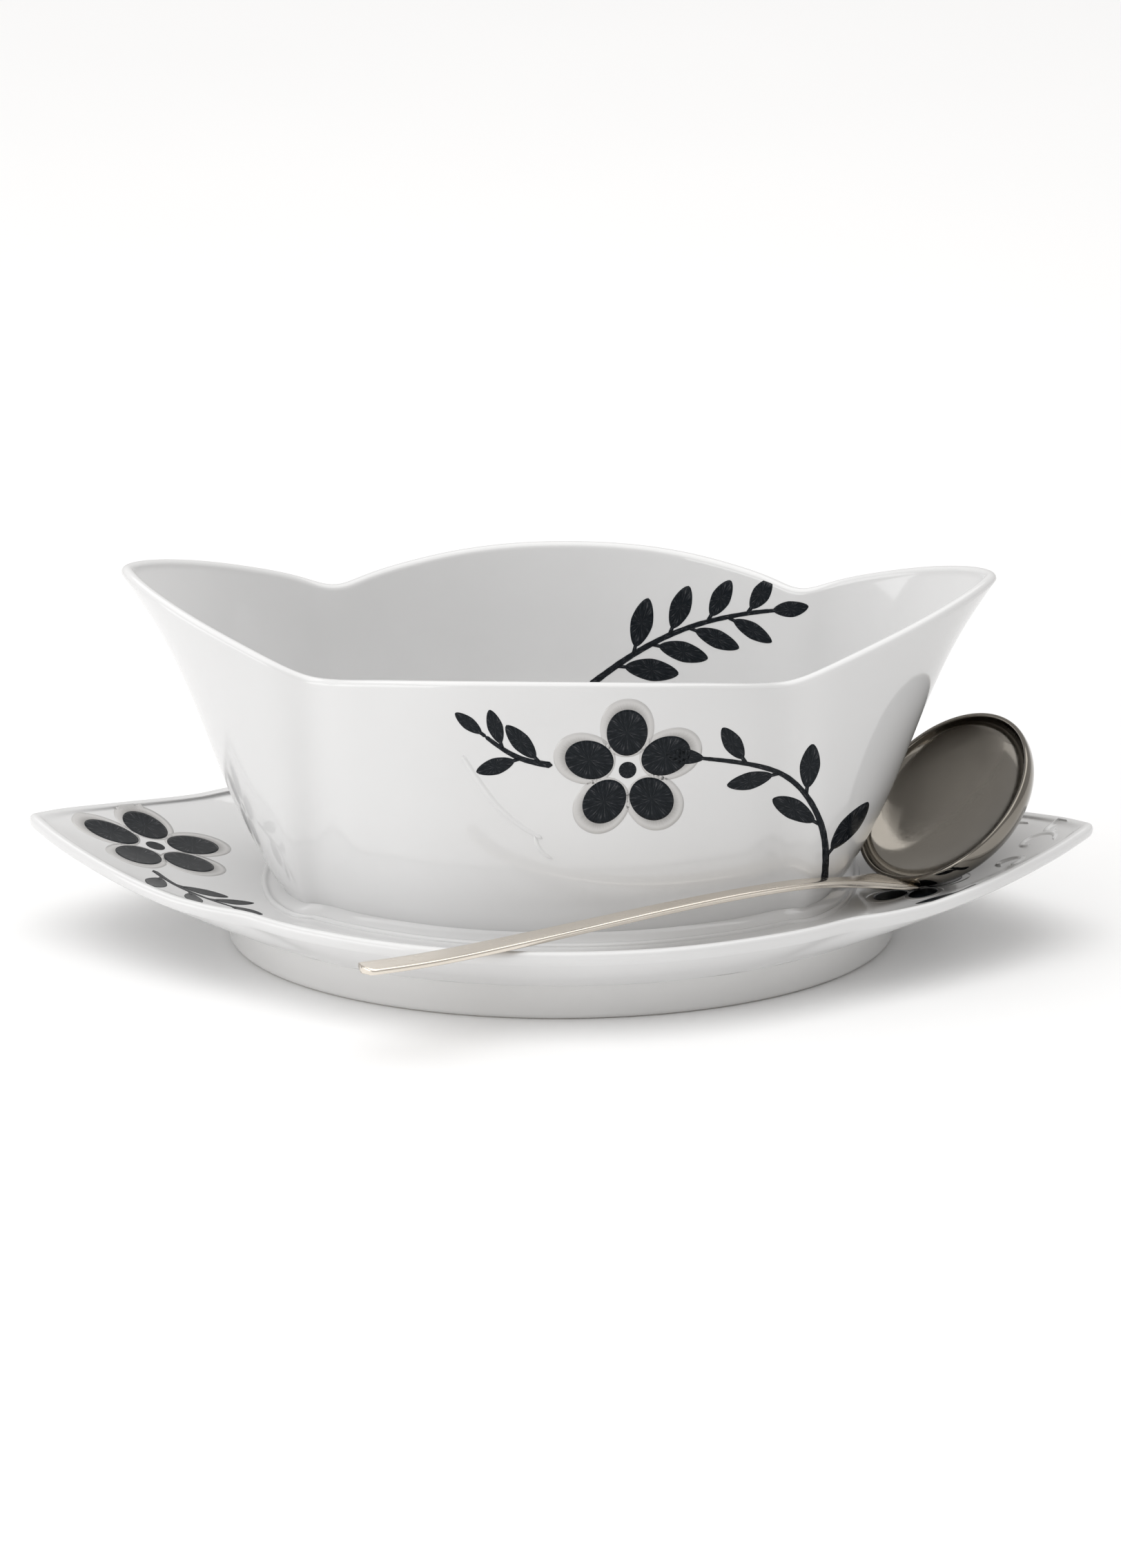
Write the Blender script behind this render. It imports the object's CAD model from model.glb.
import math

import bpy
import numpy as np
from mathutils import Matrix, Vector
from mathutils.bvhtree import BVHTree


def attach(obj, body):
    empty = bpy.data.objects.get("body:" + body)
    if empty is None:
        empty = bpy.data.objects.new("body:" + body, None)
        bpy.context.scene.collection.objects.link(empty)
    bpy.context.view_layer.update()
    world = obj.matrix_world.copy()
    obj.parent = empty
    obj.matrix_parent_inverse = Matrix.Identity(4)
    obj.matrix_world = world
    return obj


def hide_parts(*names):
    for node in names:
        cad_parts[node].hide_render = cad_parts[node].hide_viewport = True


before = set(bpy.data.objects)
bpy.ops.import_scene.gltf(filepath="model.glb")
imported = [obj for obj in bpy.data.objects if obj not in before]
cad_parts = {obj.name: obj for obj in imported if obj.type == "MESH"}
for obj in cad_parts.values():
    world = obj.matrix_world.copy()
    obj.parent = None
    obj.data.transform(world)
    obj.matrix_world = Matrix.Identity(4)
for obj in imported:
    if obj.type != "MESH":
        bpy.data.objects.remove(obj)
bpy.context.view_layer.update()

# A two-lipped porcelain gravy boat on its fixed saucer, with a loose steel ladle.
# Shapes are worked out in millimetres and become metres when a mesh is made.

MM = 0.001
ROOT = "boat_and_stand"
LADLE = "ladle"

# ---- sizes repeated from the CAD part, in millimetres ----
BOAT = dict(half_length=98.2, half_width=55.6, notch_x=53.5, notch_y=36.6)
LIP_HEIGHT = 85.0            # rim height at the pouring lips
SIDE_HEIGHT = 75.2           # rim height at the middle of a side
NOTCH_HEIGHT = 69.6          # rim height at the four notches
BOAT_WALL = 3.2              # porcelain thickness of the body
BOAT_LIP_WALL = 2.7          # porcelain thickness at the rim
BOAT_FLOOR = 4.5
SIDE_SWELL = 2.2             # how full the curve of a side is between two notches
LIP_SWEEP = 0.92             # under 1 the rim climbs fastest beside the notch

SAUCER = dict(half_length=120.0, half_width=76.5, notch_x=70.0, notch_y=48.5)
SAUCER_POINT = 1.2           # how pointed its ends are
SAUCER_TIP_HEIGHT = 26.4     # rim height at the two upturned ends
SAUCER_RIM_HEIGHT = 19.5     # rim height along the sides
TIP_RISE_START = 84.0        # where the rim starts to climb towards an end
TIP_RISE_CURVE = 1.4
WELL_HEIGHT = 13.0           # top of the flat middle that carries the boat
SAUCER_THICKNESS = 4.4       # at the middle
SAUCER_RIM_WALL = 2.8        # at the rim
DISH_CURVE = 1.6
SKIRT_CURVE = 1.15
SKIRT_INSET = 0.4
FOOT_HALF_LENGTH = 75.0
FOOT_HALF_WIDTH = 64.4
FOOT_FLARE = 2.2             # how much wider the foot ring is where it meets the saucer
FOOT_WALL = 5.0
FOOT_INNER_TAPER = 1.0       # how much the inside of the foot ring closes towards the saucer

LADLE_BOWL_RADIUS = 28.8     # half of the bowl's width, across the line of the handle
LADLE_BOWL_LENGTH_SHARE = 0.793      # its length along the handle as a share of its width
LADLE_BOWL_DEPTH = 11.1
LADLE_WALL = 1.3
LADLE_CENTRE = (86.1, 1.4, 31.8)     # middle of the bowl's mouth
LADLE_AXIS = (-0.604, -0.295, 0.740)     # the way the mouth of the bowl faces
BOWL_RUN = (0.922, 0.388)    # the way the bowl points away from the handle, seen from above
HANDLE_THICKNESS = 1.7
HANDLE_PATH = [
    (-38.6, -93.6, 21.0),
    (-30.0, -88.2, 20.6),
    (-10.5, -76.0, 20.8),
    (13.8, -61.6, 22.2),
    (45.0, -44.0, 23.7),
    (58.0, -34.8, 22.8),
    (66.0, -26.0, 20.3),
    (75.8, -13.8, 16.6),
]
# Share of the handle's length from its free end, and its width there.
HANDLE_WIDTHS = [(0.0, 7.2), (0.15, 7.0), (0.4, 5.6), (0.65, 4.4), (0.84, 4.4), (0.92, 7.6), (1.0, 16.0)]

# The flat of the saucer that carries the boat: half length, half width, notch X, notch Y, point.
WELL_OUTLINE = (70.0, 55.5, 55.0, 36.5, 2.0)

# Level of the boat's wall: share of height, then shares of half length, half width, notch X and
# notch Y, and how pointed the lip is.
BOAT_LEVELS = [
    (0.00, 0.629, 0.840, 0.955, 0.785, 2.10),
    (0.06, 0.662, 0.880, 0.968, 0.830, 2.08),
    (0.16, 0.707, 0.928, 0.978, 0.872, 2.00),
    (0.33, 0.767, 0.962, 0.985, 0.912, 1.85),
    (0.50, 0.815, 0.973, 0.990, 0.940, 1.70),
    (0.66, 0.862, 0.978, 0.995, 0.962, 1.58),
    (0.82, 0.918, 0.985, 0.998, 0.982, 1.51),
    (0.91, 0.957, 0.992, 0.999, 0.991, 1.48),
    (1.00, 1.000, 1.000, 1.000, 1.000, 1.46),
]

# Where a quarter of an outline has its points: turns round the lip in degrees, then shares of
# the side from the notch to the middle.
LIP_TURNS = (0, 9, 20, 33, 47, 62, 78)
SIDE_SHARES = (1.0, 0.88, 0.72, 0.52, 0.27, 0.0)
OVAL_TURNS = (0, 6, 13, 21, 29, 37, 44, 50, 56, 63, 71, 80, 90)

# ---- finer shape that only the visual model has, in millimetres ----
FLOOR_BEND = 9.0             # how far in the boat's wall bends over into its floor
FLOOR_BEND_START = 0.2       # share of the wall's height below which that bend takes over
FLOOR_SHARES = (0.9, 0.8, 0.68, 0.55, 0.42, 0.3, 0.18, 0.08)
WELL_SHARES = (0.1, 0.3, 0.5, 0.7, 0.85, 0.94)
UNDERSIDE_SHARES = (0.95, 0.8, 0.6, 0.4, 0.2, 0.08)

# The saucer's rounded rim in section: in from the rim, down from its top.
SAUCER_RIM = [(2.4, 0.42), (1.5, 0.05), (0.75, 0.08), (0.25, 0.45), (0.0, 1.1), (0.1, 1.9), (0.35, 2.5)]

# The foot's rounded lower edge in section, from its outside to its inside: out, up.
FOOT_EDGE = [(-0.15, 0.75), (-0.5, 0.3), (-1.0, 0.06), (-1.5, 0.0), (-3.4, 0.0),
             (-4.0, 0.08), (-4.5, 0.35), (-4.85, 0.8), (-5.0, 1.4)]
FOOT_OUTSIDE_END = 1.3       # height at which the foot's outside meets that edge
FOOT_INSIDE_END = 1.4
FOOT_FLARE_CURVE = 1.6
GROUND_EDGE_TOP = 0.2        # faces of the foot below this are ground and unglazed

# The fillet of slip and its bead in section: out from the boat's base, up from the well.
SLIP_PROFILE = [(-1.2, 4.2), (-0.1, 4.15), (0.55, 3.3), (1.2, 2.3), (1.95, 1.45), (2.8, 0.8), (3.6, 0.42),
                (4.0, 0.42), (4.35, 0.62), (4.75, 0.72), (5.15, 0.6), (5.45, 0.3), (5.6, -0.2)]
SLIP_ROOT = (1.2, 0.2)       # how far its hidden corner lies inside the boat and the saucer

HANDLE_END = 1.6             # length over which the handle's free end rounds off
HANDLE_SQUARENESS = (0.45, 0.6)      # under 1 its section is squarer than an ellipse: across, up
HANDLE_SMOOTHING = 6         # how many steps to each side its width is averaged over

# ---- how finely the meshes are cut, and how far their corners are softened ----
ROUND_STEPS = 480            # steps round the boat and the saucer
WALL_STEPS = 74
LIP_STEPS = 13
FLOOR_BEND_STEPS = 22
DISH_STEPS = 26
SKIRT_STEPS = 24
WIDE_GAP = 0.7               # rings of the saucer further apart than this get three steps, not two
FOOT_STEPS = 12
SLIP_SECTION_STEPS = 40
BOWL_STEPS = 36
BOWL_LIP_STEPS = 9
BOWL_ROUND_STEPS = 160
HANDLE_STEPS = 150
HANDLE_ROUND_STEPS = 40
WALL_SOFTNESS = 1.4          # in steps round the boat
CREST_SOFTNESS = 2.4
SAUCER_SOFTNESS = 1.0

# ---- painted and raised decoration, in millimetres ----
WASH_LIFT = 0.035            # how far the grey wash stands off the glaze, so it isn't lost in it
LIFT = 0.050                 # filled shapes lie over the wash
LINE_LIFT = 0.065            # and brush lines lie over the filled shapes
SUNK = -0.08                 # how far the hidden side of the colour lies inside the wall
STROKE_STEP = 0.7
STROKE_COLUMNS = 7
BRUSH_WOBBLE = 0.03          # how much a line's width wavers, as a share of it
LEAF_ANGLE_STEP = 5          # in degrees
LEAF_CORE = 0.04             # share of a filled shape's reach that one middle face covers
LEAF_ROWS = 9
FRONT_RIM_GAP = 0.85         # how far below the top of the rim the front's drawing stops
BACK_RIM_GAP = 0.75
SAUCER_TIP_GAP = 6.0         # how far inside the saucer's tips and sides its drawing stops
SAUCER_SIDE_GAP = 2.6
LIMIT_GIVE = 0.25            # how far before a limit a drawing starts to be squeezed
LIMIT_EASE = 6

# A sprig: its stem in millimetres, and where its leaves grow and how each is shaped.
STEM_WIDTH = 1.5
STEM_TAPER = 0.6             # width at its tip as a share of that at its foot
STALK_WIDTH = 0.8
STALK_SHARES = (0.0, 0.1, 0.3)       # points of a leaf's stalk, as shares of the leaf's length
FIRST_LEAF = 0.16            # share of the stem's length at which the first leaf grows
LAST_LEAF = 0.98
LEAF_LEAN = 40               # in degrees
LEAF_SHRINK = 0.35           # how much smaller the leaves get towards the tip
LEAF_OUT = 0.66              # how far from the stem its middle is, as a share of its length
LEAF_WIDTH = 0.42            # also as a share of its length
LEAF_POINT = 1.25            # how far it is drawn out to a point; 1 is an oval

# A flower: place, length and width of each petal and of its grey fringe, and the size of its
# heart, as shares of the flower's reach.
PETALS = 5
PETAL = (0.55, 0.68, 0.56)
FRINGE = (0.62, 0.86, 0.74)
FRINGE_POINT = 0.95
HEART = 0.24

# Raised scrolls at the saucer's right end: place, turn in degrees, and size.
SCROLLS = [
    (99.0, 12.0, 20, 1.0),
    (106.0, 2.0, -30, 0.9),
    (95.0, 22.0, 80, 0.9),
    (88.0, 31.0, 120, 0.8),
    (100.0, -8.0, -70, 0.8),
    (111.0, 6.0, 10, 0.6),
    (84.0, 19.0, 150, 0.8),
    (92.0, 3.0, 200, 0.8),
]
SCROLL_WIDTHS = [0.8, 1.5, 1.9, 1.9, 1.8, 1.6, 1.4, 1.1, 0.8]
SCROLL_REACH = 6.2           # radius of a scroll's wide end
SCROLL_SHRINK = 0.62         # how much its radius falls from one point to the next
SCROLL_TURN = 0.62           # how far it turns from one point to the next, in radians
SCROLL_HEIGHT = 0.42
SCROLL_ROUNDNESS = 1.2


# ------------------------------------------------------------------ camera, floor and light

CAMERA_AZIMUTH = math.radians(3.3)
CAMERA_ELEVATION = math.radians(17.5)
CAMERA_ROLL = math.radians(0.48)
CAMERA_DISTANCE = 3.5
VIEW_HEIGHT = 0.3533         # how much the tall side of the picture shows at the object
VIEW_RISE = 0.0329           # the picture's middle above the foot's centre
VIEW_SIDE = 0.0001           # and to the right of it
SENSOR = 36.0
ROOM_COLOUR = (0.80, 0.79, 0.78, 1)
ROOM_STRENGTH = 0.64
FLOOR_HALF_SIZE = 14.0       # in metres


def make_camera():
    """The photograph's three-quarter view, a little above the rim, with a long lens."""
    az, el = CAMERA_AZIMUTH, CAMERA_ELEVATION
    right = Vector((math.cos(az), math.sin(az), 0))
    back = Vector((math.sin(az) * math.cos(el), -math.cos(az) * math.cos(el), math.sin(el)))
    up = back.cross(right)
    target = right * VIEW_SIDE + up * VIEW_RISE
    turned_right = right * math.cos(CAMERA_ROLL) - up * math.sin(CAMERA_ROLL)
    turned_up = up * math.cos(CAMERA_ROLL) + right * math.sin(CAMERA_ROLL)
    data = bpy.data.cameras.new("camera")
    data.sensor_width = SENSOR
    data.lens = SENSOR * CAMERA_DISTANCE / VIEW_HEIGHT
    data.clip_start = 0.05
    data.clip_end = 60
    camera = bpy.data.objects.new("camera", data)
    bpy.context.scene.collection.objects.link(camera)
    camera.location = target + back * CAMERA_DISTANCE
    camera.rotation_mode = "QUATERNION"
    columns = (turned_right, turned_up, back)
    matrix = [[column[row] for column in columns] for row in range(3)]
    camera.rotation_quaternion = Matrix(matrix).to_quaternion()
    bpy.context.scene.camera = camera


def area_light(name, place, aim, size, power, colour):
    """A rectangular light at a place, turned to face its aim."""
    data = bpy.data.lights.new(name, "AREA")
    data.shape = "RECTANGLE"
    data.size, data.size_y = size
    data.energy = power
    data.color = colour
    light = bpy.data.objects.new(name, data)
    bpy.context.scene.collection.objects.link(light)
    light.location = place
    light.rotation_mode = "QUATERNION"
    light.rotation_quaternion = (Vector(aim) - Vector(place)).to_track_quat("-Z", "Y")


def make_light():
    """A big soft box overhead, a lower one on the left, and a pale room."""
    area_light("top_box", place=(-0.1, 0.0, 1.5), aim=(0, 0, 0.03), size=(2.4, 2.2),
               power=23, colour=(1.0, 0.998, 0.995))
    area_light("left_box", place=(-1.5, -0.8, 0.42), aim=(0, 0, 0.05), size=(1.5, 0.8),
               power=7.5, colour=(1.0, 1.0, 1.0))
    world = bpy.data.worlds.new("room")
    bpy.context.scene.world = world
    world.use_nodes = True
    background = world.node_tree.nodes["Background"]
    background.inputs["Color"].default_value = ROOM_COLOUR
    background.inputs["Strength"].default_value = ROOM_STRENGTH
    bpy.context.scene.view_settings.view_transform = "Standard"


# ------------------------------------------------------------------ node materials

def node(tree, kind, **values):
    made = tree.nodes.new(kind)
    for key, value in values.items():
        setattr(made, key, value)
    return made


def new_material(name):
    material = bpy.data.materials.new(name)
    material.use_nodes = True
    shader = material.node_tree.nodes["Principled BSDF"]
    return material, material.node_tree, shader


def noise(tree, scale, detail=3.0, roughness=0.5, vector=None):
    texture = node(tree, "ShaderNodeTexNoise")
    texture.inputs["Scale"].default_value = scale
    texture.inputs["Detail"].default_value = detail
    texture.inputs["Roughness"].default_value = roughness
    if vector is None:
        vector = node(tree, "ShaderNodeTexCoord").outputs["Object"]
    tree.links.new(vector, texture.inputs["Vector"])
    return texture.outputs["Fac"]


def ramp(tree, value, *stops):
    """Turns a value into a colour, by stops of a position and a colour."""
    made = node(tree, "ShaderNodeValToRGB")
    elements = made.color_ramp.elements
    while len(elements) < len(stops):
        elements.new(0.5)
    for element, (position, colour) in zip(elements, stops):
        element.position = position
        element.color = (*colour, 1)
    tree.links.new(value, made.inputs["Fac"])
    return made.outputs["Color"]


def grey(value):
    return (value, value, value)


def bump(tree, shader, height, strength, distance):
    made = node(tree, "ShaderNodeBump")
    made.inputs["Strength"].default_value = strength
    made.inputs["Distance"].default_value = distance
    tree.links.new(height, made.inputs["Height"])
    tree.links.new(made.outputs["Normal"], shader.inputs["Normal"])


def porcelain(name="glazed_porcelain", tint=(1, 1, 1)):
    """White porcelain under a clear glaze, with a faint cloudiness and a slow ripple in the glaze."""
    material, tree, shader = new_material(name)
    cloud = noise(tree, 18, detail=4)
    low = tuple(0.745 * t for t in tint)
    high = tuple(0.785 * t for t in tint)
    tree.links.new(ramp(tree, cloud, (0.3, low), (0.7, high)), shader.inputs["Base Color"])
    tree.links.new(ramp(tree, noise(tree, 60, detail=2), (0.3, grey(0.07)), (0.7, grey(0.12))),
                   shader.inputs["Roughness"])
    shader.inputs["IOR"].default_value = 1.5
    shader.inputs["Coat Weight"].default_value = 0.35
    shader.inputs["Coat Roughness"].default_value = 0.03
    bump(tree, shader, noise(tree, 55, detail=1.5), strength=0.12, distance=0.0012)
    return material


def bare_porcelain():
    """The unglazed ground edge that the foot stands on."""
    material, tree, shader = new_material("bare_porcelain")
    grain = noise(tree, 500, detail=6)
    tree.links.new(ramp(tree, grain, (0.3, (0.62, 0.60, 0.56)), (0.7, (0.74, 0.72, 0.69))),
                   shader.inputs["Base Color"])
    shader.inputs["Roughness"].default_value = 0.8
    return material


def steel(name, low, high, roughness, streak):
    """Stainless steel with fine polishing marks, drawn out by the streak's scale on each axis."""
    material, tree, shader = new_material(name)
    coordinates = node(tree, "ShaderNodeTexCoord").outputs["Object"]
    mapping = node(tree, "ShaderNodeMapping")
    mapping.inputs["Scale"].default_value = streak
    tree.links.new(coordinates, mapping.inputs["Vector"])
    marks = noise(tree, 900, detail=5, vector=mapping.outputs["Vector"])
    tree.links.new(ramp(tree, noise(tree, 40), (0.35, low), (0.7, high)), shader.inputs["Base Color"])
    shader.inputs["Metallic"].default_value = 1.0
    tree.links.new(ramp(tree, marks, (0.3, grey(roughness[0])), (0.75, grey(roughness[1]))),
                   shader.inputs["Roughness"])
    bump(tree, shader, marks, strength=0.05, distance=0.00008)
    return material


def floor_material():
    material, tree, shader = new_material("pale_floor")
    tree.links.new(ramp(tree, noise(tree, 3), (0.3, grey(0.94)), (0.7, grey(0.96))),
                   shader.inputs["Base Color"])
    shader.inputs["Roughness"].default_value = 0.85
    return material


# ------------------------------------------------------------------ curves

def spline_coefficients(knots, values, closed):
    """Second derivatives of the C2 cubic through values at knots, along the first axis."""
    count = len(knots)
    steps = np.diff(knots)
    matrix = np.zeros((count, count))
    right = np.zeros(values.shape)
    if closed:
        size = count - 1
        for i in range(size):
            before, after = steps[i - 1], steps[i]
            matrix[i, (i - 1) % size] += before
            matrix[i, i] += 2 * (before + after)
            matrix[i, (i + 1) % size] += after
            last = values[i - 1] if i else values[size - 1]
            right[i] = 6 * ((values[i + 1] - values[i]) / after - (values[i] - last) / before)
        solved = np.linalg.solve(matrix[:size, :size], right[:size].reshape(size, -1))
        solved = solved.reshape((size,) + values.shape[1:])
        return np.concatenate([solved, solved[:1]])
    matrix[0, 0] = matrix[-1, -1] = 1
    for i in range(1, count - 1):
        before, after = steps[i - 1], steps[i]
        matrix[i, i - 1:i + 2] = before, 2 * (before + after), after
        right[i] = 6 * ((values[i + 1] - values[i]) / after - (values[i] - values[i - 1]) / before)
    return np.linalg.solve(matrix, right.reshape(count, -1)).reshape(values.shape)


def spline(knots, values, at, closed=False):
    """Values of the smooth curve through values at knots, at new places."""
    knots = np.asarray(knots, float)
    values = np.asarray(values, float)
    second = spline_coefficients(knots, values, closed)
    place = np.clip(np.searchsorted(knots, at, side="right") - 1, 0, len(knots) - 2)
    width = knots[place + 1] - knots[place]
    shape = (-1,) + (1,) * (values.ndim - 1)
    b = ((at - knots[place]) / width).reshape(shape)
    a = 1 - b
    width = width.reshape(shape)
    bend = (a ** 3 - a) * second[place] + (b ** 3 - b) * second[place + 1]
    return a * values[place] + b * values[place + 1] + bend * width ** 2 / 6


def chord_knots(points):
    """Running distance along points, or the mean distance along rings of points."""
    gaps = np.linalg.norm(np.diff(points, axis=0), axis=-1)
    while gaps.ndim > 1:
        gaps = gaps.mean(axis=-1)
    return np.concatenate([[0], np.cumsum(gaps)])


def quarter_outline(half_length, half_width, notch_x, notch_y, point):
    """Plan points of one quarter of a lobed oval, from the tip on +X to the middle of +Y."""
    points = []
    for angle in LIP_TURNS:
        along = math.cos(math.radians(angle)) ** (2 / point)
        across = math.sin(math.radians(angle)) ** (2 / point)
        points.append((notch_x + (half_length - notch_x) * along, notch_y * across))
    for share in SIDE_SHARES:
        swell = 1 - share ** SIDE_SWELL
        points.append((notch_x * share, notch_y + (half_width - notch_y) * swell))
    return points


def closed_outline(quarter):
    """The whole loop of plan points, anticlockwise from the +X tip."""
    half = quarter + [(-x, y) for x, y in reversed(quarter[:-1])]
    return np.array(half + [(x, -y) for x, y in reversed(half[1:-1])])


def oval_outline(half_length, half_width):
    quarter = []
    for angle in OVAL_TURNS:
        turn = math.radians(angle)
        quarter.append((half_length * math.cos(turn), half_width * math.sin(turn)))
    return closed_outline(quarter)


def fine_loop(outline, knots):
    """The smooth closed curve through an outline, cut into ROUND_STEPS."""
    at = np.linspace(0, knots[-1], ROUND_STEPS, endpoint=False)
    return spline(knots, np.concatenate([outline, outline[:1]]), at, closed=True)


def loop_knots(outline):
    return chord_knots(np.concatenate([outline, outline[:1]]))


def inward_normals(loop):
    run = np.roll(loop, -1, axis=0) - np.roll(loop, 1, axis=0)
    run /= np.linalg.norm(run, axis=1, keepdims=True)
    return np.stack([-run[:, 1], run[:, 0]], axis=1)


def soften(loop, reach):
    """Rounds off the corners of a closed loop of values by a bell-shaped average."""
    window = 3 * int(reach + 1)
    offsets = np.arange(-window, window + 1)
    weights = np.exp(-0.5 * (offsets / reach) ** 2)
    weights /= weights.sum()
    return sum(weight * np.roll(loop, offset, axis=0) for offset, weight in zip(offsets, weights))


def boat_rim_height(x):
    x = np.abs(x)
    swell = 1 - np.minimum(x / BOAT["notch_x"], 1) ** SIDE_SWELL
    side = NOTCH_HEIGHT + (SIDE_HEIGHT - NOTCH_HEIGHT) * swell
    rise = np.clip((x - BOAT["notch_x"]) / (BOAT["half_length"] - BOAT["notch_x"]), 0, 1)
    return side + (LIP_HEIGHT - NOTCH_HEIGHT) * rise ** LIP_SWEEP


def saucer_rim_height(x):
    rise = np.clip((np.abs(x) - TIP_RISE_START) / (SAUCER["half_length"] - TIP_RISE_START), 0, 1)
    return SAUCER_RIM_HEIGHT + (SAUCER_TIP_HEIGHT - SAUCER_RIM_HEIGHT) * rise ** TIP_RISE_CURVE


# ------------------------------------------------------------------ meshes

def make_object(name, vertices, faces, material, smooth=True):
    """A mesh object from vertices in millimetres."""
    mesh = bpy.data.meshes.new(name)
    mesh.from_pydata((np.asarray(vertices) * MM).tolist(), [], faces)
    mesh.validate()
    mesh.polygons.foreach_set("use_smooth", [smooth] * len(mesh.polygons))
    mesh.materials.append(material)
    made = bpy.data.objects.new(name, mesh)
    bpy.context.scene.collection.objects.link(made)
    return made


def ring_faces(rows, columns, first_cap, last_cap):
    """Quads between closed rings, with fans over the first and last ring where they are capped."""
    index = np.arange(rows * columns).reshape(rows, columns)
    a, b = index[:-1], np.roll(index, -1, axis=1)[:-1]
    c, d = np.roll(index, -1, axis=1)[1:], index[1:]
    faces = np.stack([a, b, c, d], axis=-1).reshape(-1, 4).tolist()
    extra = rows * columns
    if first_cap:
        ring = index[0]
        faces += [[int(ring[(i + 1) % columns]), int(ring[i]), extra] for i in range(columns)]
        extra += 1
    if last_cap:
        ring = index[-1]
        faces += [[int(ring[i]), int(ring[(i + 1) % columns]), extra] for i in range(columns)]
    return faces


def skin(name, rings, material, first_cap=False, last_cap=False):
    """A surface through closed rings; a cap closes a ring at its middle."""
    rings = np.asarray(rings)
    rows, columns, _ = rings.shape
    vertices = rings.reshape(-1, 3)
    if first_cap:
        vertices = np.concatenate([vertices, rings[0].mean(axis=0, keepdims=True)])
    if last_cap:
        vertices = np.concatenate([vertices, rings[-1].mean(axis=0, keepdims=True)])
    return make_object(name, vertices, ring_faces(rows, columns, first_cap, last_cap), material)


def with_height(loop, height):
    height = np.broadcast_to(np.asarray(height, float), (len(loop),))
    return np.column_stack([loop, height])


def boat_outline(level):
    _, length, width, notch_x, notch_y, point = level
    return closed_outline(quarter_outline(
        BOAT["half_length"] * length, BOAT["half_width"] * width,
        BOAT["notch_x"] * notch_x, BOAT["notch_y"] * notch_y, point))


def boat_wall_loops(shares):
    """Plan loops of the boat's outer wall at shares of its height, and the rim's height on each."""
    levels = [level[0] for level in BOAT_LEVELS]
    rim = boat_outline(BOAT_LEVELS[-1])
    knots = loop_knots(rim)
    loops = [soften(fine_loop(boat_outline(level), knots), WALL_SOFTNESS) for level in BOAT_LEVELS]
    crest = soften(boat_rim_height(fine_loop(rim, knots)[:, 0]), CREST_SOFTNESS)
    return spline(levels, loops, np.asarray(shares)), crest


def make_boat(material):
    """Outer wall, rounded rim, inner wall and floor of the boat, as one closed skin."""
    shares = np.linspace(0, 1, WALL_STEPS)
    walls, crest = boat_wall_loops(shares)
    lip = BOAT_LIP_WALL / 2
    rings = []
    for share, loop in zip(shares, walls):
        rings.append(with_height(loop, WELL_HEIGHT + share * (crest - lip - WELL_HEIGHT)))
    top = walls[-1]
    inwards = inward_normals(top)
    for turn in np.linspace(0, math.pi, LIP_STEPS)[1:]:
        reach = lip * (1 - math.cos(turn))
        rings.append(with_height(top + inwards * reach, crest - lip + lip * math.sin(turn)))
    floor = WELL_HEIGHT + BOAT_FLOOR
    for share, loop in reversed(list(zip(shares, walls))[:-1]):
        if share < FLOOR_BEND_START:
            break
        wall = BOAT_LIP_WALL + (BOAT_WALL - BOAT_LIP_WALL) * (1 - share)
        rings.append(with_height(loop + inward_normals(loop) * wall,
                                 WELL_HEIGHT + share * (crest - lip - WELL_HEIGHT)))
    last = rings[-1]
    edge = last[:, :2]
    inwards = inward_normals(edge)
    drop = last[:, 2] - floor
    for turn in np.linspace(0, math.pi / 2, FLOOR_BEND_STEPS)[1:]:
        reach = FLOOR_BEND * (1 - math.cos(turn))
        rings.append(with_height(edge + inwards * reach, last[:, 2] - drop * math.sin(turn)))
    edge = rings[-1][:, :2]
    for share in FLOOR_SHARES:
        rings.append(with_height(edge * share, floor))
    return skin("porcelain_boat", rings, material, first_cap=True, last_cap=True)


def between(low, high, share):
    return low + (high - low) * share


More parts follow.
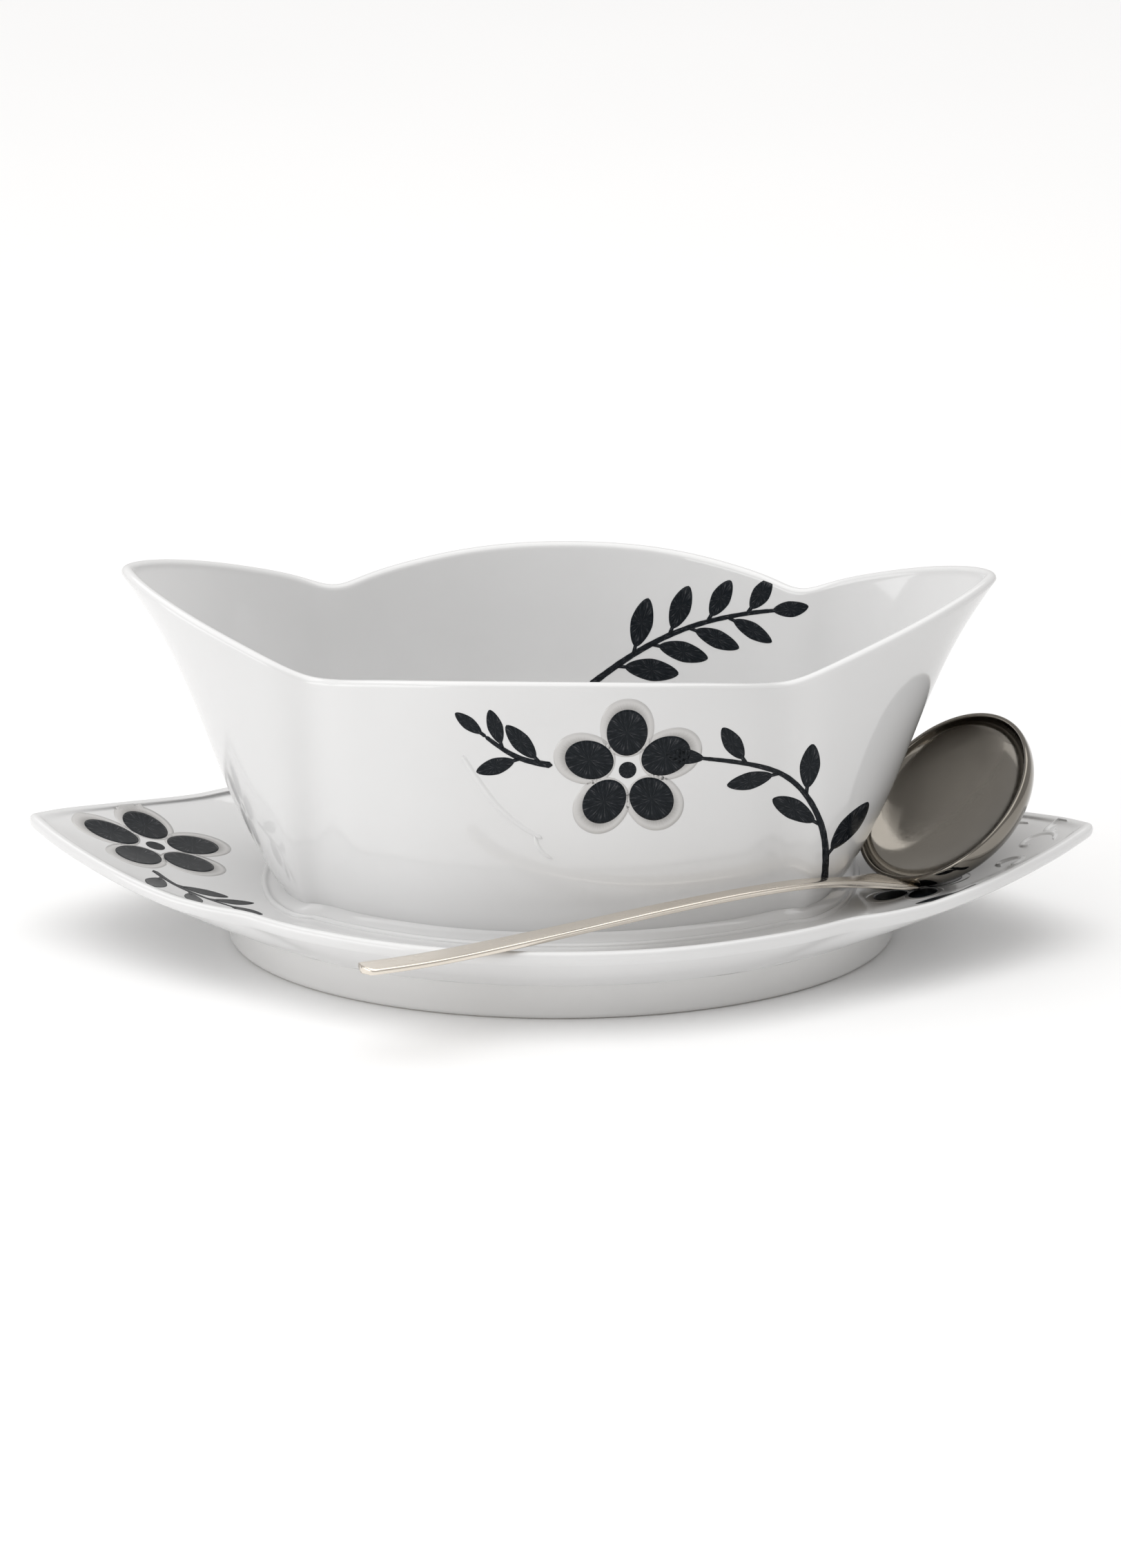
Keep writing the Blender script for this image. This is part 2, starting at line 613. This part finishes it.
def make_saucer(material):
    """Dish, rounded rim, skirt and underside of the saucer, as one closed skin."""
    rim_outline = closed_outline(quarter_outline(*SAUCER.values(), SAUCER_POINT))
    knots = loop_knots(rim_outline)
    rim = soften(fine_loop(rim_outline, knots), SAUCER_SOFTNESS)
    well = fine_loop(closed_outline(quarter_outline(*WELL_OUTLINE)), knots)
    foot = fine_loop(oval_outline(FOOT_HALF_LENGTH + FOOT_FLARE, FOOT_HALF_WIDTH + FOOT_FLARE), knots)
    inwards = inward_normals(rim)
    height = saucer_rim_height(rim[:, 0])
    under = WELL_HEIGHT - SAUCER_THICKNESS
    rings = [with_height(well * share, WELL_HEIGHT) for share in WELL_SHARES]

    def dish(share):
        rise = (height - WELL_HEIGHT) * share ** DISH_CURVE
        return with_height(between(well, rim, share), WELL_HEIGHT + rise)

    def at_rim(moved, drop):
        return with_height(rim + inwards * moved, height - drop)

    def skirt(share):
        top = height - SAUCER_RIM_WALL
        loop = between(foot, rim, share) + inwards * SKIRT_INSET * share
        return with_height(loop, under + (top - under) * share ** SKIRT_CURVE)

    rough = [dish(share) for share in np.linspace(0, 0.91, DISH_STEPS)]
    rough += [at_rim(moved, drop) for moved, drop in SAUCER_RIM]
    rough += [skirt(share) for share in np.linspace(0.95, 0.0, SKIRT_STEPS)]
    rough = np.array(rough)
    steps = chord_knots(rough)
    fine = []
    for i in range(len(steps) - 1):
        parts = 3 if steps[i + 1] - steps[i] > WIDE_GAP else 2
        fine += [between(steps[i], steps[i + 1], part / parts) for part in range(parts)]
    rings += list(spline(steps, rough, np.array(fine + [steps[-1]])))
    rings += [with_height(foot * share, under) for share in UNDERSIDE_SHARES]
    return skin("porcelain_saucer", rings, material, first_cap=True, last_cap=True)


def ellipse_loop(half_length, half_width):
    turn = np.linspace(0, 2 * math.pi, ROUND_STEPS, endpoint=False)
    return np.column_stack([half_length * np.cos(turn), half_width * np.sin(turn)])


def make_foot(material, ground):
    """The foot ring; its lowest band is the ground, unglazed edge."""
    top = WELL_HEIGHT - SAUCER_THICKNESS
    profile = []
    for share in np.linspace(0, 1, FOOT_STEPS):
        out = FOOT_FLARE * (1 - share) ** FOOT_FLARE_CURVE
        profile.append((out, top - (top - FOOT_OUTSIDE_END) * share))
    profile += FOOT_EDGE
    for share in (0.25, 0.5, 0.75, 1.0):
        out = -FOOT_WALL - FOOT_INNER_TAPER * share
        profile.append((out, FOOT_INSIDE_END + (top - FOOT_INSIDE_END) * share))
    rings = [with_height(ellipse_loop(FOOT_HALF_LENGTH + out, FOOT_HALF_WIDTH + out), z)
             for out, z in profile]
    rings.append(rings[0])
    foot = skin("porcelain_foot", rings, material)
    foot.data.materials.append(ground)
    for polygon in foot.data.polygons:
        if polygon.center.z < GROUND_EDGE_TOP * MM:
            polygon.material_index = 1
    return foot


def make_slip(material):
    """The glazed fillet of slip round the boat's base, ending in a fine raised bead."""
    walls, _ = boat_wall_loops([0.0])
    base = walls[0]
    outwards = -inward_normals(base)
    knots = chord_knots(SLIP_PROFILE)
    fine = spline(knots, SLIP_PROFILE, np.linspace(0, knots[-1], SLIP_SECTION_STEPS))
    rings = [with_height(base + outwards * out, WELL_HEIGHT + up) for out, up in fine]
    inside, below = SLIP_ROOT
    rings.append(with_height(base - outwards * inside, WELL_HEIGHT - below))
    rings.append(rings[0])
    return skin("slip_fillet", rings, material)


# ------------------------------------------------------------------ ladle

def ladle_axes():
    """The bowl's own directions: away from the handle, to the side, and out of its mouth."""
    axis = np.array(LADLE_AXIS)
    axis /= np.linalg.norm(axis)
    away = np.array([*BOWL_RUN, 0.0])
    away -= axis * away.dot(axis)
    away /= np.linalg.norm(away)
    return away, np.cross(axis, away), axis


def bowl_profile(inset):
    """A quarter of an ellipse, from beside the bottom of the bowl's section to its lip."""
    turns = np.linspace(0, math.pi / 2, BOWL_STEPS)[1:]
    return [((LADLE_BOWL_RADIUS - inset) * math.sin(turn),
             -(LADLE_BOWL_DEPTH - inset) * math.cos(turn)) for turn in turns]


def make_ladle_bowl(material):
    """The oval bowl of the ladle: outside, rounded lip and inside, round its axis."""
    outside = bowl_profile(0.0)
    inside = bowl_profile(LADLE_WALL)
    lip = []
    middle = LADLE_BOWL_RADIUS - LADLE_WALL / 2
    for turn in np.linspace(0, math.pi, BOWL_LIP_STEPS)[1:-1]:
        lip.append((middle + LADLE_WALL / 2 * math.cos(turn), LADLE_WALL / 2 * math.sin(turn)))
    profile = outside + lip + inside[::-1]
    away, side, axis = ladle_axes()
    turn = np.linspace(0, 2 * math.pi, BOWL_ROUND_STEPS, endpoint=False)[:, None]
    rings = []
    for radius, rise in profile:
        flat = np.cos(turn) * LADLE_BOWL_LENGTH_SHARE * away + np.sin(turn) * side
        rings.append(np.array(LADLE_CENTRE) + flat * radius + axis * rise)
    return skin("ladle_bowl_steel", rings, material, first_cap=True, last_cap=True)


def make_ladle_handle(material):
    """The flat tapering handle, swept along its gentle curve."""
    path = np.array(HANDLE_PATH)
    knots = chord_knots(path)
    at = np.linspace(0, knots[-1], HANDLE_STEPS)
    line = spline(knots, path, at)
    run = np.gradient(line, axis=0)
    run /= np.linalg.norm(run, axis=1, keepdims=True)
    across = np.column_stack([-run[:, 1], run[:, 0], np.zeros(len(run))])
    across /= np.linalg.norm(across, axis=1, keepdims=True)
    rise = np.cross(run, across)
    shares = [share for share, _ in HANDLE_WIDTHS]
    widths = np.interp(at / knots[-1], shares, [width for _, width in HANDLE_WIDTHS])
    window = 2 * HANDLE_SMOOTHING + 1
    padded = np.pad(widths, HANDLE_SMOOTHING, mode="edge")
    widths = np.convolve(padded, np.ones(window) / window, mode="valid")
    turn = np.linspace(0, 2 * math.pi, HANDLE_ROUND_STEPS, endpoint=False)
    section_x = np.sign(np.cos(turn)) * np.abs(np.cos(turn)) ** HANDLE_SQUARENESS[0]
    section_y = np.sign(np.sin(turn)) * np.abs(np.sin(turn)) ** HANDLE_SQUARENESS[1]
    rings = []
    for i in range(len(line)):
        end = min(1.0, at[i] / HANDLE_END)
        width = widths[i] / 2 * math.sqrt(max(0.02, 1 - (1 - end) ** 2))
        ring = line[i] + np.outer(section_x * width, across[i])
        rings.append(ring + np.outer(section_y * HANDLE_THICKNESS / 2, rise[i]))
    return skin("ladle_handle_steel", rings, material, first_cap=True, last_cap=True)


def make_floor():
    size = FLOOR_HALF_SIZE
    corners = [(-size, -size), (size, -size), (size, size), (-size, size)]
    floor = make_object("floor", [(x / MM, y / MM, 0) for x, y in corners], [[0, 1, 2, 3]],
                        floor_material(), smooth=False)


# ------------------------------------------------------------------ painted and raised decoration

class Canvas:
    """A curved surface to paint on: flat drawing coordinates in millimetres, cast onto a mesh.

    view gives the start and the direction of the ray for a drawing point, and edge keeps a
    drawing point on the part of the surface that may be painted.
    """

    def __init__(self, piece, view, edge):
        vertices = [tuple(v.co / MM) for v in piece.data.vertices]
        faces = [list(p.vertices) for p in piece.data.polygons]
        self.tree = BVHTree.FromPolygons(vertices, faces)
        self.view = view
        self.edge = edge

    def spot(self, u, v):
        """The point of the surface under a drawing point, and the surface's way out there."""
        start, direction = self.view(u, v)
        hit, normal, _, _ = self.tree.ray_cast(Vector(start), Vector(direction))
        if hit is None:
            hit, normal, _, _ = self.tree.find_nearest(Vector(start))
        if normal.dot(Vector(direction)) > 0:
            normal = -normal
        return hit, normal

    def layer(self, flat, lifts):
        """Points lying over the surface at given heights."""
        made = []
        for (u, v), lift in zip(flat, lifts):
            hit, normal = self.spot(*self.edge(u, v))
            made.append(hit + normal * lift)
        return made


def soft_limit(value, limit):
    """Holds a value just under a limit, keeping the order of the values it squeezes."""
    if value <= limit - LIMIT_GIVE:
        return value
    return limit - LIMIT_GIVE * math.exp(-(value - limit + LIMIT_GIVE) / LIMIT_EASE)


def under_rim(gap):
    """Keeps a drawing on a wall of the boat at least a gap below the top of its rim."""
    return lambda u, v: (u, soft_limit(v, float(boat_rim_height(u)) - gap))


def half_width_at(x, inset_by):
    """Half the saucer's width at a place along it, a little inside the rim."""
    half_length = SAUCER["half_length"] - inset_by
    notch_x, notch_y = SAUCER["notch_x"], SAUCER["notch_y"] - inset_by
    x = abs(x)
    if x <= notch_x:
        return notch_y + (SAUCER["half_width"] - SAUCER["notch_y"]) * (1 - (x / notch_x) ** SIDE_SWELL)
    share = min(1.0, (x - notch_x) / (half_length - notch_x))
    along = share ** (SAUCER_POINT / 2)
    return notch_y * max(0.0, 1 - along ** 2) ** (1 / SAUCER_POINT)


def inside_rim(u, v):
    """Keeps a drawing on the saucer inside its rim."""
    u = math.copysign(soft_limit(abs(u), SAUCER["half_length"] - SAUCER_TIP_GAP), u)
    limit = half_width_at(u, SAUCER_SIDE_GAP)
    return u, math.copysign(soft_limit(abs(v), limit), v)


def grid_piece(canvas, flat, tops, closed, marks):
    """A thin closed skin over a surface from a grid of drawing points, as vertices and faces.

    The rows of a closed grid are rings, and its first ring is filled with one face.
    """
    rows, columns, _ = flat.shape
    points = flat.reshape(-1, 2)
    top = canvas.layer(points, tops.reshape(-1))
    bottom = canvas.layer(points, np.full(len(points), SUNK))
    count = rows * columns
    faces = []
    index = np.arange(count).reshape(rows, columns)
    last = columns if closed else columns - 1
    for i in range(rows - 1):
        for j in range(last):
            k = (j + 1) % columns
            quad = [int(index[i, j]), int(index[i, k]), int(index[i + 1, k]), int(index[i + 1, j])]
            faces.append(quad)
            faces.append([q + count for q in reversed(quad)])
    if closed:
        rim = [int(q) for q in index[-1]] + [int(index[-1, 0])]
        faces.append([int(q) for q in index[0][::-1]])
        faces.append([int(q) + count for q in index[0]])
    else:
        loop = [*index[0], *index[1:, -1], *index[-1, -2::-1], *index[-2::-1, 0]]
        rim = [int(q) for q in loop[::-1]]
    for a, b in zip(rim[:-1], rim[1:]):
        faces.append([a, b, b + count, a + count])
    return top + bottom, faces, np.concatenate([marks.reshape(-1, 2)] * 2)


class Painting:
    """Collects thin skins and makes one mesh object of them."""

    def __init__(self):
        self.vertices, self.faces, self.marks = [], [], []

    def add(self, canvas, flat, tops, closed, marks):
        vertices, faces, spots = grid_piece(canvas, flat, tops, closed, marks)
        start = len(self.vertices)
        self.vertices += [tuple(v) for v in vertices]
        self.faces += [[q + start for q in face] for face in faces]
        self.marks += [tuple(m) for m in spots]

    def stroke(self, canvas, points, width, lift=LINE_LIFT, power=0.0):
        """A brush line through points; its width is a number, or one for each point.

        A power rounds its section off, from flat-topped at 0, for a raised line.
        """
        points = np.asarray(points, float)
        knots = chord_knots(points)
        steps = max(8, int(knots[-1] / STROKE_STEP))
        at = np.linspace(0, knots[-1], steps)
        line = spline(knots, points, at)
        widths = np.interp(at, knots, np.broadcast_to(np.asarray(width, float), (len(points),)))
        end = np.clip(np.minimum(at, knots[-1] - at) / (widths * 0.5 + 1e-6), 0, 1)
        widths = widths * np.sqrt(np.clip(1 - (1 - end) ** 2, 0.03, 1))
        wobble = np.sin(at * 0.9) * BRUSH_WOBBLE + np.sin(at * 2.3 + 1) * BRUSH_WOBBLE
        widths = widths * (1 + wobble)
        run = np.gradient(line, axis=0)
        run /= np.linalg.norm(run, axis=1, keepdims=True)
        across = np.column_stack([-run[:, 1], run[:, 0]])
        shares = np.linspace(-1, 1, STROKE_COLUMNS)
        out = shares[None, :, None] * widths[:, None, None] / 2
        flat = line[:, None, :] + across[:, None, :] * out
        profile = (1 - shares ** 2) ** power if power else np.ones(len(shares))
        tops = np.broadcast_to(SUNK * (1 - profile) + lift * profile, flat.shape[:2])
        marks = np.stack(np.broadcast_arrays(at[:, None] * 0.12, shares[None, :]), axis=-1)
        self.add(canvas, flat[:, ::-1], tops, False, marks)

    def leaf(self, canvas, centre, length, width, tilt, point=1.0, lift=LIFT):
        """A filled shape round a centre: an oval, drawn out towards both ends by a point over 1."""
        angles = np.radians(np.arange(0, 360, LEAF_ANGLE_STEP))
        turns = angles - math.radians(tilt)
        power = 2 / point
        along = (2 * np.abs(np.cos(turns)) / length) ** power
        across = (2 * np.abs(np.sin(turns)) / width) ** power
        radii = (along + across) ** (-1 / power)
        shares = np.linspace(LEAF_CORE, 1, LEAF_ROWS)
        reach = radii[None, :] * shares[:, None]
        flat = np.stack([centre[0] + reach * np.cos(angles), centre[1] + reach * np.sin(angles)], axis=-1)
        round_it = angles[None, :] / (2 * math.pi) * 9
        marks = np.stack(np.broadcast_arrays(round_it, shares[:, None]), axis=-1)
        self.add(canvas, flat, np.full(flat.shape[:2], lift), True, marks)

    def make(self, name, material, slot):
        """One mesh of all the skins, with each point's place in its stroke as UV marks."""
        made = make_object(name, self.vertices, self.faces, material)
        layer = made.data.uv_layers.new(name="brush")
        for loop in made.data.loops:
            layer.data[loop.index].uv = self.marks[loop.vertex_index]
        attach(made, ROOT)


def ink_material():
    """Blue-black underglaze colour, with streaks left by the brush."""
    material, tree, shader = new_material("brush_ink")
    marks = node(tree, "ShaderNodeTexCoord").outputs["UV"]
    mapping = node(tree, "ShaderNodeMapping")
    mapping.inputs["Scale"].default_value = (3.2, 0.9, 1.0)
    tree.links.new(marks, mapping.inputs["Vector"])
    streaks = noise(tree, 2.2, detail=5, roughness=0.62, vector=mapping.outputs["Vector"])
    tree.links.new(ramp(tree, streaks, (0.42, (0.0040, 0.0062, 0.0085)), (0.57, (0.012, 0.015, 0.019)),
                        (0.71, (0.095, 0.094, 0.098))),
                   shader.inputs["Base Color"])
    shader.inputs["Roughness"].default_value = 0.16
    shader.inputs["Specular IOR Level"].default_value = 0.14
    return material


def wash_material():
    """A thin grey wash that fades outwards into the white of the glaze, in fine strokes."""
    material, tree, shader = new_material("ink_wash")
    marks = node(tree, "ShaderNodeTexCoord").outputs["UV"]
    parts = node(tree, "ShaderNodeSeparateXYZ")
    tree.links.new(marks, parts.inputs[0])
    mapping = node(tree, "ShaderNodeMapping")
    mapping.inputs["Scale"].default_value = (9.0, 0.5, 1.0)
    tree.links.new(marks, mapping.inputs["Vector"])
    streaks = noise(tree, 2.5, detail=4, vector=mapping.outputs["Vector"])
    mixed = node(tree, "ShaderNodeMath", operation="MULTIPLY_ADD")
    tree.links.new(streaks, mixed.inputs[0])
    mixed.inputs[1].default_value = 0.3
    tree.links.new(parts.outputs["Y"], mixed.inputs[2])
    tree.links.new(ramp(tree, mixed.outputs[0], (0.35, (0.19, 0.185, 0.18)), (0.8, (0.36, 0.35, 0.34)),
                        (1.0, (0.60, 0.59, 0.58))),
                   shader.inputs["Base Color"])
    shader.inputs["Roughness"].default_value = 0.09
    shader.inputs["Coat Weight"].default_value = 0.35
    shader.inputs["Coat Roughness"].default_value = 0.03
    return material


def towards(angle, distance):
    """A step in drawing coordinates, at an angle in radians."""
    return np.array([math.cos(angle), math.sin(angle)]) * distance


def paint_sprig(canvas, ink, stem, count, leaf):
    """A plain curved stem with pointed leaves on alternate sides, smaller towards its tip."""
    stem = np.array(stem, float)
    knots = chord_knots(stem)
    ink.stroke(canvas, stem, np.linspace(STEM_WIDTH, STEM_WIDTH * STEM_TAPER, len(stem)))
    places = np.linspace(FIRST_LEAF, LAST_LEAF, count) * knots[-1]
    spots = spline(knots, stem, places)
    ways = spots - spline(knots, stem, places - 0.5)
    for index, (spot, way) in enumerate(zip(spots, ways)):
        side = 1 if index % 2 else -1
        heading = math.atan2(way[1], way[0])
        if index < count - 1:
            heading += side * math.radians(LEAF_LEAN)
        length = leaf * (1 - LEAF_SHRINK * index / count)
        middle = spot + towards(heading, length * LEAF_OUT)
        stalk = [spot + towards(heading, length * share) for share in STALK_SHARES]
        ink.stroke(canvas, stalk, STALK_WIDTH)
        ink.leaf(canvas, middle, length, length * LEAF_WIDTH, math.degrees(heading), LEAF_POINT)


def paint_flower(canvas, ink, wash, middle, reach, turned):
    """A plain open flower: rounded petals with a grey fringe, set round a small dark heart."""
    middle = np.array(middle)
    for index in range(PETALS):
        angle = math.radians(turned) + 2 * math.pi * index / PETALS
        tilt = math.degrees(angle)
        out, length, width = (reach * share for share in FRINGE)
        wash.leaf(canvas, middle + towards(angle, out), length, width, tilt, FRINGE_POINT, WASH_LIFT)
        out, length, width = (reach * share for share in PETAL)
        ink.leaf(canvas, middle + towards(angle, out), length, width, tilt)
    ink.leaf(canvas, middle, reach * HEART, reach * HEART, 0)


def paint_boat(front, back, ink, wash):
    """A flowering sprig up the front of the boat, and a leafy one inside the far wall."""
    paint_flower(front, ink, wash, middle=(18.0, 54.5), reach=16.0, turned=90)
    stem = [(60.2, 19.4), (60.6, 32.0), (56.0, 44.0), (46.0, 52.0), (35.0, 55.5)]
    paint_sprig(front, ink, stem, count=6, leaf=12.0)
    stem = [(1.5, 56.0), (-5.5, 57.5), (-13.5, 62.5)]
    paint_sprig(front, ink, stem, count=4, leaf=10.0)
    stem = [(4.0, 42.0), (16.0, 51.0), (30.0, 58.5), (46.0, 64.0)]
    paint_sprig(back, ink, stem, count=9, leaf=12.5)


def paint_saucer(canvas, ink, wash):
    """A flower and a leafy sprig towards each end of the saucer, clear of the raised scrolls."""
    paint_flower(canvas, ink, wash, middle=(-92.0, 7.0), reach=18.0, turned=180)
    stem = [(-91.0, -11.0), (-85.0, -19.0), (-73.0, -27.0)]
    paint_sprig(canvas, ink, stem, count=5, leaf=11.5)
    paint_flower(canvas, ink, wash, middle=(80.0, -10.0), reach=12.0, turned=0)
    stem = [(94.0, -22.0), (85.0, -30.0), (72.0, -35.0)]
    paint_sprig(canvas, ink, stem, count=5, leaf=9.0)


def raise_relief(front, dish, relief):
    """A shallow raised line on the boat's front, and scrolls at the saucer's right end."""
    line = [(-18.5, 57.5), (-14.5, 51.0), (-8.0, 43.5), (-1.0, 38.8)]
    relief.stroke(front, line, [1.2, 1.8, 1.6, 1.2], lift=0.3, power=1.3)
    tail = [(-2.6, 39.6), (-1.6, 36.4), (1.2, 34.0)]
    relief.stroke(front, tail, [1.0, 1.2, 0.8], lift=0.25, power=1.3)
    for x, y, turn, size in SCROLLS:
        scroll = []
        for step in range(len(SCROLL_WIDTHS)):
            angle = math.radians(turn) + step * SCROLL_TURN
            reach = size * (SCROLL_REACH - step * SCROLL_SHRINK)
            scroll.append((x + reach * math.cos(angle), y + reach * math.sin(angle)))
        relief.stroke(dish, scroll, SCROLL_WIDTHS, SCROLL_HEIGHT, SCROLL_ROUNDNESS)


# ------------------------------------------------------------------ everything together

make_camera()
make_light()
make_floor()

glaze = porcelain()
foot_glaze = porcelain("foot_porcelain", (0.94, 0.935, 0.925))
bisque = bare_porcelain()
bowl_steel = steel("polished_steel", low=(0.21, 0.193, 0.168), high=(0.26, 0.24, 0.21),
                   roughness=(0.07, 0.14), streak=(1, 1, 1))
handle_steel = steel("handle_steel", low=(0.76, 0.70, 0.62), high=(0.82, 0.76, 0.68),
                     roughness=(0.18, 0.30), streak=(0.15, 1, 1))

boat = make_boat(glaze)
saucer = make_saucer(glaze)
foot = make_foot(foot_glaze, bisque)
slip = make_slip(glaze)
ladle_bowl = make_ladle_bowl(bowl_steel)
ladle_handle = make_ladle_handle(handle_steel)

for piece, body, node_name, slot in (
    (boat, ROOT, "boat_bowl", "glazed_porcelain"),
    (saucer, ROOT, "saucer", "glazed_porcelain"),
    (foot, ROOT, "foot_ring", "foot_porcelain"),
    (slip, ROOT, "slip_joint", "glazed_porcelain"),
    (ladle_bowl, LADLE, "ladle_bowl", "polished_steel"),
    (ladle_handle, LADLE, "ladle_handle", "handle_steel"),
):
    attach(piece, body)
    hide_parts(node_name)

front_wall = Canvas(boat, lambda u, v: ((u, -160.0, v), (0, 1, 0)), under_rim(FRONT_RIM_GAP))
back_wall = Canvas(boat, lambda u, v: ((u, 0.0, v), (0, 1, 0)), under_rim(BACK_RIM_GAP))
dish = Canvas(saucer, lambda u, v: ((u, v, 60.0), (0, 0, -1)), inside_rim)

ink, wash, relief = Painting(), Painting(), Painting()
paint_boat(front_wall, back_wall, ink, wash)
paint_saucer(dish, ink, wash)
raise_relief(front_wall, dish, relief)
ink.make("painted_ink", ink_material(), "brush_ink")
wash.make("painted_wash", wash_material(), "ink_wash")
relief.make("moulded_relief", glaze, "glazed_porcelain")
